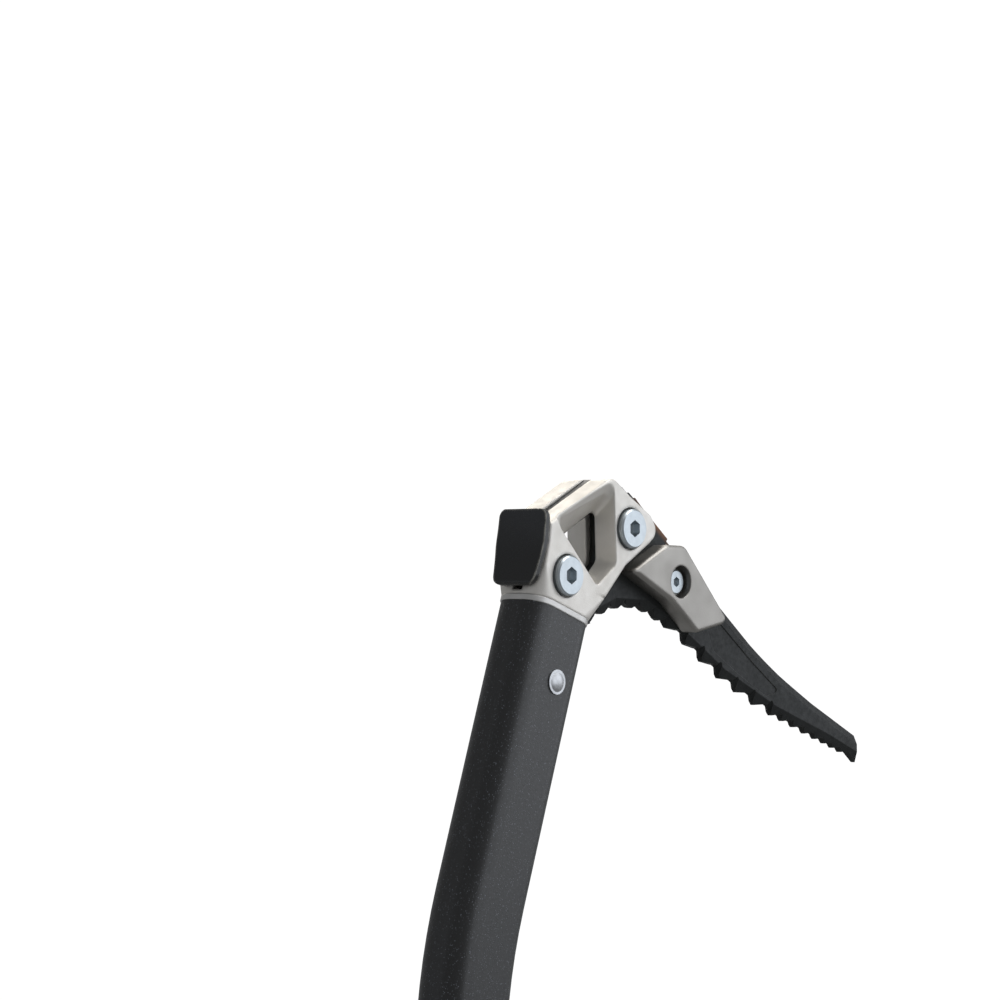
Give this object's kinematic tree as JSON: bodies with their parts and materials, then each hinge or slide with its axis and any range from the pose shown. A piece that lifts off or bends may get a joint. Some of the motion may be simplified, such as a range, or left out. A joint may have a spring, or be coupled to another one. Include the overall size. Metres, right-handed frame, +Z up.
{
  "type": "ice axe",
  "caption": "Technical ice axe with a bent black shaft, cast head with a clipping eye, toothed pick, hammer, rubber grip, sliding finger rest and spike.",
  "frame": {"origin": "centre of the clipping eye through the head, in the mid-plane of the pick", "axes": "+X forward in the direction of the pick, +Y left, +Z up, as the axe hangs from its head's eye"},
  "size_m": [0.2334, 0.0396, 0.5042],
  "materials": {
    "cast_head": "bead-blasted cast stainless steel",
    "collar": "satin aluminium",
    "rivet": "satin aluminium",
    "pick_steel": "black phosphated forged steel",
    "hammer_steel": "gloss black coated steel",
    "zinc_screw": "blue zinc-plated steel",
    "weight_steel": "satin cast stainless steel",
    "shaft_coating": "fine textured black powder coat on aluminium",
    "grip_rubber": "moulded rubber",
    "black_nylon": "glass-filled nylon",
    "dark_screw": "blackened steel",
    "plug_alloy": "cast aluminium",
    "spike_steel": "satin stainless steel"
  },
  "bodies": {
    "axe": {"head_body": "cast_head", "head_collar": "collar", "head_rivet": "rivet", "pick": "pick_steel", "hammer": "hammer_steel", "front_pick_bolt": "zinc_screw", "rear_pick_bolt": "zinc_screw", "front_pick_nut": "zinc_screw", "rear_pick_nut": "zinc_screw", "pick_weight_right": "weight_steel", "pick_weight_left": "weight_steel", "weight_screw": "zinc_screw", "shaft": "shaft_coating", "grip_sleeve": "grip_rubber", "grip_ring": "black_nylon", "hand_rest": "black_nylon", "hand_rest_bolt": "dark_screw", "hand_rest_nut": "dark_screw", "spike_plug": "plug_alloy", "spike": "spike_steel", "spike_rivets": "rivet"},
    "finger_rest_slider": {"finger_rest": "black_nylon", "finger_rest_clamp": "black_nylon", "finger_rest_screws": "dark_screw"}
  },
  "joints": [
    {"name": "finger_rest_slide", "type": "slide", "parent": "axe", "child": "finger_rest_slider", "axis": [-0.0698, 0, -0.9976], "range_m": [0, 0.02]}
  ]
}
